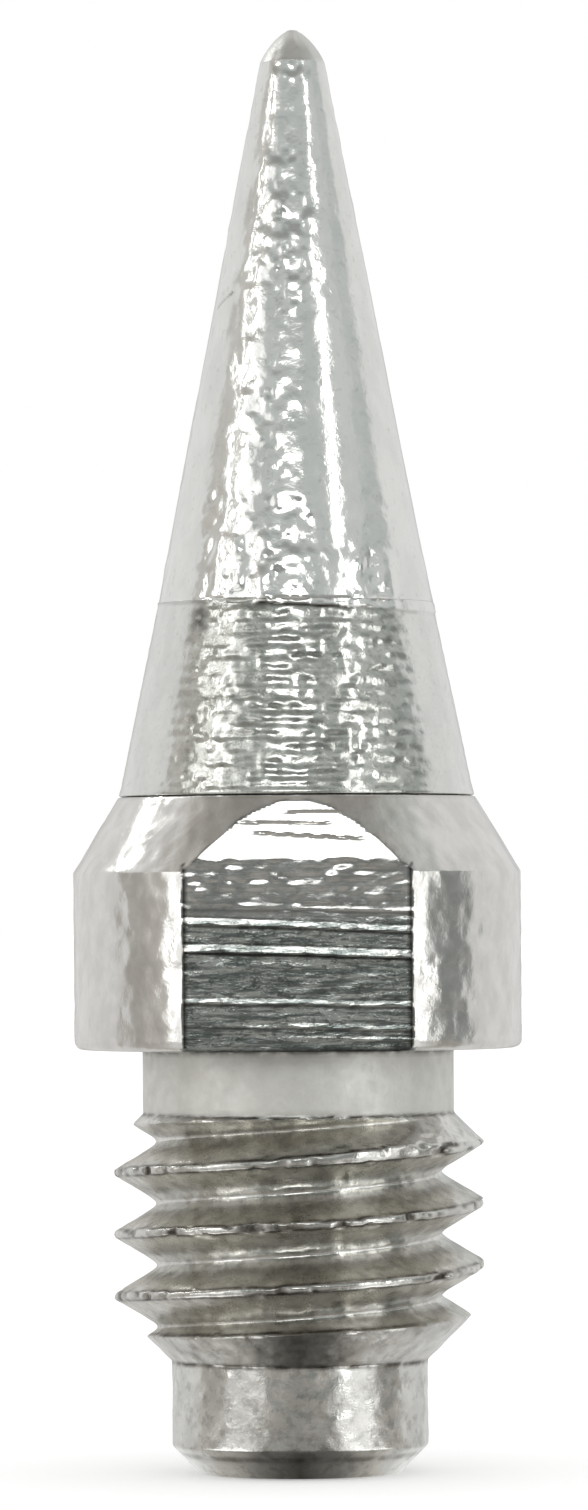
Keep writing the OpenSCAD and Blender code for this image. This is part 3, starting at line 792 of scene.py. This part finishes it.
def spindle_material():
    mat, tree = new_material("turned_finish")
    g = Graph(tree)
    tin_color, tin_rough, _ = tinned_nodes(g)
    tinned = g.attribute("tinned")
    cloud = g.noise(0.6, 4, 0.6, (1, 1, 1), 5)
    color = g.mix(g.ramp(cloud, 0.35, 0.68), (0.49, 0.50, 0.465), (0.64, 0.645, 0.61))
    pits = g.noise(0.16, 3, 0.6, (1.6, 1.6, 0.8), 6)
    color = g.mix(g.ramp(pits, 0.50, 0.68, 0, 0.5), color, (0.28, 0.29, 0.26))
    # painted shade and grime from the vertex attribute
    color = g.mix(g.attribute("shade_and_grime"), color, (0.05, 0.045, 0.04))
    # the tinned attribute also holds the painted sheen on the cone's two sides
    color = g.mix(tinned, color, tin_color)
    rough = g.ramp(g.noise(0.4, 3, 0.6, seed=7), 0.3, 0.7, 0.10, 0.24)
    normal = g.bump(pits, 0.006, under=g.bump(g.noise(0.14, 3, 0.6, seed=8), 0.006))
    own_share = g.math("MULTIPLY", rough, g.math("SUBTRACT", 1.0, tinned))
    g.surface(color, g.math("ADD", own_share, g.math("MULTIPLY", tin_rough, tinned)), normal)
    return mat


def collar_material():
    mat, tree = new_material("collar_finish")
    g = Graph(tree)
    cloud = g.noise(0.8, 4, 0.62, (1, 1, 1.3), 9)
    color = g.mix(g.ramp(cloud, 0.36, 0.66), (0.66, 0.645, 0.615), (0.75, 0.74, 0.715))
    flat = g.attribute("flat")
    streak = g.noise(0.3, 4, 0.65, (2.6, 1, 0.35), 10)
    pits = g.noise(0.2, 4, 0.7, (1.6, 1, 0.8), 11)
    # painted reflection: the milled flats get a much darker copy of the steel's colour, standing in for the
    # dark surroundings they mirror
    flat_color = g.mix(g.ramp(streak, 0.40, 0.60), (0.22, 0.245, 0.235), (0.64, 0.66, 0.625))
    flat_color = g.mix(g.ramp(pits, 0.53, 0.64, 0, 0.75), flat_color, (0.12, 0.13, 0.12))
    color = g.mix(flat, color, flat_color)
    # painted shade from the vertex attribute, along edges, steps and the gap
    color = g.mix(g.attribute("shade_and_grime"), color, (0.03, 0.028, 0.025))
    rough = g.ramp(g.noise(0.45, 3, 0.6, seed=12), 0.3, 0.7, 0.10, 0.22)
    bumps = g.bump(g.noise(0.18, 4, 0.6, seed=13), 0.006)
    normal = g.bump(g.math("MULTIPLY", pits, flat), 0.014, under=bumps)
    g.surface(color, rough, normal)
    return mat


def shank_material():
    mat, tree = new_material("shank_finish")
    g = Graph(tree)
    cloud = g.noise(0.7, 4, 0.62, (1, 1, 1), 14)
    neck, thread = g.attribute("neck"), g.attribute("thread")
    color = g.mix(g.ramp(cloud, 0.36, 0.66), (0.62, 0.615, 0.585), (0.74, 0.735, 0.70))
    color = g.mix(neck, color, g.mix(g.ramp(cloud, 0.36, 0.66), (0.70, 0.697, 0.66), (0.77, 0.767, 0.728)))
    color = g.mix(thread, color, g.mix(g.ramp(cloud, 0.3, 0.7), (0.54, 0.525, 0.475), (0.71, 0.695, 0.64)))
    blots = g.ramp(g.noise(0.36, 4, 0.65, seed=20), 0.48, 0.66, 0, 0.4)
    color = g.mix(g.math("MULTIPLY", blots, g.math("SUBTRACT", 1.0, neck)), color, (0.25, 0.245, 0.22))
    patchy = g.ramp(g.noise(0.5, 3, 0.6, seed=15), 0.3, 0.6, 0.3, 1.0)
    # painted shade and grime from the vertex attribute, made patchy
    shade_and_grime = g.math("MULTIPLY", g.attribute("shade_and_grime"), patchy)
    color = g.mix(shade_and_grime, color, (0.07, 0.06, 0.05))
    smooth = g.ramp(g.noise(0.4, 3, 0.6, seed=16), 0.3, 0.7, 0.10, 0.22)
    dull = g.math("MULTIPLY", g.math("MAXIMUM", g.math("MULTIPLY", thread, 0.3), neck), 0.42)
    normal = g.bump(g.noise(0.2, 4, 0.6, seed=17), 0.01)
    g.surface(color, g.math("ADD", smooth, dull), normal)
    return mat


def plain_metal(name, color, rough, grain=(1, 1, 0.1)):
    mat, tree = new_material(name)
    g = Graph(tree)
    lines = g.noise(0.4, 3, 0.6, grain, 18)
    shade = g.mix(g.ramp(lines, 0.3, 0.7), tuple(c * 0.82 for c in color), color)
    g.surface(shade, g.ramp(lines, 0.3, 0.7, rough * 0.8, rough * 1.3), g.bump(lines, 0.002))
    return mat


def rubber_material():
    mat, tree = new_material("seal_rubber_finish")
    g = Graph(tree)
    grain = g.noise(0.1, 3, 0.6, seed=19)
    g.surface(g.mix(grain, (0.02, 0.02, 0.022), (0.05, 0.05, 0.052)), 0.6, g.bump(grain, 0.003), metallic=0.0)
    return mat


def dress(obj, mat):
    obj.data.materials.clear()
    obj.data.materials.append(mat)


dress(point, point_material())
dress(spindle, spindle_material())
dress(collar, collar_material())
dress(shank, shank_material())

bearing = plain_metal("bearing_finish", (0.62, 0.63, 0.64), 0.18)
ball = plain_metal("ball_finish", (0.72, 0.72, 0.73), 0.06, (1, 1, 1))
sheet = plain_metal("sheet_finish", (0.55, 0.55, 0.55), 0.3)
brass = plain_metal("cage_finish", (0.70, 0.52, 0.22), 0.28)
dark_steel = plain_metal("plug_finish", (0.50, 0.49, 0.47), 0.3, (1, 1, 1))
SLOT_MATERIALS = {
    "bearing_steel": bearing, "ball_steel": ball, "shield_steel": sheet, "spring_steel": sheet,
    "cage_brass": brass, "plated_steel": dark_steel, "seal_rubber": rubber_material(),
    "turned_steel": bearing, "point_steel": bearing,  # on nodes that the visual bodies replace
}
for entry in frame["record"]["subparts"]:
    dress(frame["nodes"][entry["node"]], SLOT_MATERIALS[entry["material_slot"]])


# ---------------------------------------------------------------- floor, light and camera
def emission(name, level):
    mat, tree = new_material(name)
    e = tree.nodes.new("ShaderNodeEmission")
    e.inputs["Color"].default_value = (1, 1, 1, 1)
    e.inputs["Strength"].default_value = level
    out = tree.nodes.new("ShaderNodeOutputMaterial")
    tree.links.new(e.outputs[0], out.inputs["Surface"])
    return mat


def level_material(name):
    """Emission whose strength comes from the mesh's own level values."""
    mat, tree = new_material(name)
    e = tree.nodes.new("ShaderNodeEmission")
    level = tree.nodes.new("ShaderNodeAttribute")
    level.attribute_name = "level"
    tree.links.new(level.outputs["Color"], e.inputs["Color"])
    out = tree.nodes.new("ShaderNodeOutputMaterial")
    tree.links.new(e.outputs[0], out.inputs["Surface"])
    return mat


def stage_grid(name, places, levels, mat):
    """Studio surface over a grid of places, seen only in reflections. Levels are its colours, if any."""
    rows, columns = places.shape[:2]
    faces = [
        (j * columns + i, j * columns + i + 1, (j + 1) * columns + i + 1, (j + 1) * columns + i)
        for j in range(rows - 1)
        for i in range(columns - 1)
    ]
    mesh = bpy.data.meshes.new(name)
    mesh.from_pydata(places.reshape(-1, 3).tolist(), [], faces)
    mesh.shade_smooth()
    obj = bpy.data.objects.new(name, mesh)
    bpy.context.scene.collection.objects.link(obj)
    if levels is not None:
        layer = mesh.attributes.new("level", "FLOAT_COLOR", "POINT")
        layer.data.foreach_set("color", np.append(levels, np.ones((rows, columns, 1)), 2).ravel())
    mesh.materials.append(mat)
    obj.visible_camera = obj.visible_diffuse = obj.visible_shadow = obj.visible_transmission = False


CENTRE = np.array([0, 0, 0.006])  # the studio is laid out in metres
DOME_R = 0.16
STRIP_INSET = 0.01
FLOOR_Z = PILOT_END_Z * MM - 0.00001
# Grey levels of the studio round the object, in percent. Azimuth 0 is the camera's side, 90 its right.
AZIMUTHS = (-180, -155, -122, -117, -100, -96, -88, -76, -62, -40, -22,
            0, 22, 40, 56, 70, 74, 94, 99, 120, 155, 180)
LEVELS = {  # elevation in degrees
    -12: (45, 80, 80, 80, 78, 42, 36, 50, 50, 38, 26, 22, 24, 32, 40, 44, 30, 28, 80, 80, 80, 45),
    0: (45, 83, 83, 83, 81, 46, 46, 60, 62, 50, 34, 26, 30, 40, 56, 54, 30, 28, 83, 83, 83, 45),
    10: (45, 83, 83, 83, 81, 52, 50, 58, 54, 42, 34, 30, 34, 42, 50, 52, 38, 36, 83, 83, 83, 45),
    20: (50, 83, 83, 83, 81, 64, 60, 64, 62, 62, 60, 58, 60, 64, 66, 66, 58, 58, 83, 83, 83, 50),
    32: (60, 82, 84, 82, 80, 66, 62, 62, 62, 62, 60, 58, 60, 62, 66, 66, 62, 62, 80, 82, 82, 60),
    44: (60, 84, 90, 84, 80, 70, 64, 50, 42, 38, 36, 34, 36, 40, 46, 50, 58, 66, 80, 84, 84, 60),
    60: (60, 85, 90, 84, 74, 56, 44, 36, 34, 32, 36, 40, 38, 34, 34, 36, 42, 62, 74, 84, 85, 60),
    90: (60,) * 22,
}
# painted shadow and reflection of the floor: a glowing sheet seen only in reflections, dark near the axis in
# front where the floor lies in the part's shade
FLOOR_REFLECTION = {  # distance from the axis in millimetres
    0: (30, 80, 95, 95, 95, 95, 95, 90, 78, 50, 20, 5, 20, 50, 78, 90, 90, 95, 95, 95, 80, 30),
    3.4: (35, 80, 95, 95, 95, 95, 95, 85, 70, 46, 18, 6, 18, 46, 70, 85, 90, 95, 95, 95, 80, 35),
    4.9: (38, 72, 80, 80, 80, 70, 60, 50, 42, 30, 16, 12, 16, 40, 50, 55, 60, 70, 80, 80, 72, 38),
    5.3: (38, 72, 80, 80, 80, 70, 60, 50, 240, 220, 16, 12, 16, 220, 240, 55, 60, 70, 80, 80, 72, 38),
    8: (40, 72, 75, 75, 75, 70, 58, 50, 180, 160, 24, 20, 24, 160, 180, 55, 60, 70, 75, 75, 72, 40),
    11: (40, 72, 75, 75, 75, 70, 58, 52, 66, 62, 44, 36, 42, 100, 100, 55, 50, 60, 75, 75, 72, 40),
    22: (45, 78, 78, 78, 78, 60, 52, 50, 74, 72, 50, 40, 46, 120, 110, 62, 36, 46, 78, 78, 78, 45),
    155: (45, 80, 80, 80, 78, 45, 40, 46, 70, 66, 44, 34, 40, 110, 100, 52, 32, 34, 80, 80, 80, 45),
}
COOL, WARM = np.array([0.955, 1.0, 0.985]), np.array([1.0, 0.965, 0.91])


def studio_levels(table, azimuth, height):
    """Grey levels of the studio from a table of levels, at each azimuth and height."""
    rows = np.array([np.interp(azimuth, AZIMUTHS, row) for row in table.values()]) / 100
    keys = np.array(list(table), float)
    at = np.interp(height, keys, np.arange(len(keys)))
    low = np.minimum(at.astype(int), len(keys) - 2)
    share = at - low
    column = np.arange(len(azimuth))
    return rows[low[:, None], column] * (1 - share[:, None]) + rows[low[:, None] + 1, column] * share[:, None]


def tinted(level, warmth):
    mix = COOL * (1 - warmth[..., None]) + WARM * warmth[..., None]
    bright = smoothstep(0.55, 0.78, level)[..., None]
    return level[..., None] * (mix * (1 - bright) + bright)


azimuth, elevation = np.arange(-180, 181, 2.0), np.arange(-12, 91, 3.0)
a, e = np.meshgrid(np.radians(azimuth), np.radians(elevation))
sphere = np.stack([np.sin(a) * np.cos(e), -np.cos(a) * np.cos(e), np.sin(e)], 2)
level = studio_levels(LEVELS, azimuth, elevation)
warmth = smoothstep(-30, -70, np.degrees(a)) + smoothstep(45, 60, np.degrees(e))
level = tinted(level, np.minimum(warmth, 1))
stage_grid("dome", CENTRE + sphere * DOME_R, level, level_material("dome_levels"))

radius = np.concatenate([np.arange(0.5, 12, 0.5), np.geomspace(12, 155, 24)])
a, r = np.meshgrid(np.radians(azimuth), radius * MM)
ground = np.stack([np.sin(a) * r, -np.cos(a) * r, np.full_like(a, FLOOR_Z + 0.000005)], 2)
level = studio_levels(FLOOR_REFLECTION, azimuth, radius)
stage_grid("floor_reflection", ground, tinted(level, np.ones_like(level)), level_material("floor_reflection_levels"))


def strip(name, azimuths, elevations, level, lean):
    """Bright curved light strip inside the dome; lean is its turn in azimuth per degree of elevation."""
    a, e = np.meshgrid(np.linspace(*azimuths, 8), np.linspace(*elevations, 10))
    a, e = np.radians(a + lean * e), np.radians(e)
    places = np.stack([np.sin(a) * np.cos(e), -np.cos(a) * np.cos(e), np.sin(e)], 2)
    stage_grid(name, CENTRE + places * (DOME_R - STRIP_INSET), None, emission(name, level))


# name, azimuths, elevations, level and lean
STRIPS = (
    ("strip_far_left", (-68.5, -62.5), (-6, 32), 2.4, -0.26),
    ("strip_left", (-60, -51), (5, 31), 3.0, 0.0),
    ("strip_left_soft", (-51, -38), (9, 30), 1.2, 0.0),
    ("strip_left_low", (-62, -30), (-8, 4), 1.15, 0.0),
    ("strip_middle", (-18, 8), (13, 25), 3.6, 0.0),
    ("strip_right", (37, 46.5), (-7, 33), 3.2, 0.0),
    ("strip_right_low", (48, 60), (-7, 5), 1.3, 0.0),
    ("strip_far_right", (60, 70), (-8, 14), 2.0, -0.2),
    ("strip_side", (-123.5, -116.5), (31, 54), 7.0, 0.0),
)
for place in STRIPS:
    strip(*place)

floor_mesh = bpy.data.meshes.new("floor")
FLOOR_HALF = 3.0  # metres
corners = [(x * FLOOR_HALF, y * FLOOR_HALF, FLOOR_Z) for x, y in ((-1, -1), (1, -1), (1, 1), (-1, 1))]
floor_mesh.from_pydata(corners, [], [(0, 1, 2, 3)])
floor = bpy.data.objects.new("floor", floor_mesh)
bpy.context.scene.collection.objects.link(floor)
floor_mat, floor_tree = new_material("floor_white")
fg = Graph(floor_tree)
fp = fg.surface((0.9, 0.9, 0.9, 1), 0.9, metallic=0.0)
fp.inputs["Specular IOR Level"].default_value = 0.0
fp.inputs["Emission Color"].default_value = (1, 1, 1, 1)
fp.inputs["Emission Strength"].default_value = 0.22
floor_mesh.materials.append(floor_mat)

world = bpy.data.worlds.new("studio")
bpy.context.scene.world = world
world.use_nodes = True
world.node_tree.nodes["Background"].inputs["Color"].default_value = (1, 1, 1, 1)
world.node_tree.nodes["Background"].inputs["Strength"].default_value = 1.0

VIEW_HEIGHT = 38.8674  # of the frame, at the axis
DISTANCE, EYE_Z, AIM_X, AIM_Z, ROLL = 190.0, 3.8, -0.06, 7.54, math.radians(-0.34)
camera_data = bpy.data.cameras.new("camera")
camera_data.sensor_width = 36
camera_data.lens = 36 * DISTANCE / VIEW_HEIGHT
camera_data.clip_start, camera_data.clip_end = 0.01, 20
camera = bpy.data.objects.new("camera", camera_data)
bpy.context.scene.collection.objects.link(camera)
eye = Vector((AIM_X, -DISTANCE, EYE_Z)) * MM
aim = Vector((AIM_X, 0, AIM_Z)) * MM
turn = (aim - eye).to_track_quat("-Z", "Y").to_matrix().to_4x4()
camera.matrix_world = Matrix.Translation(eye) @ turn @ Matrix.Rotation(ROLL, 4, "Z")
bpy.context.scene.camera = camera
bpy.context.scene.view_settings.view_transform = "Standard"

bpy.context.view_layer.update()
import json
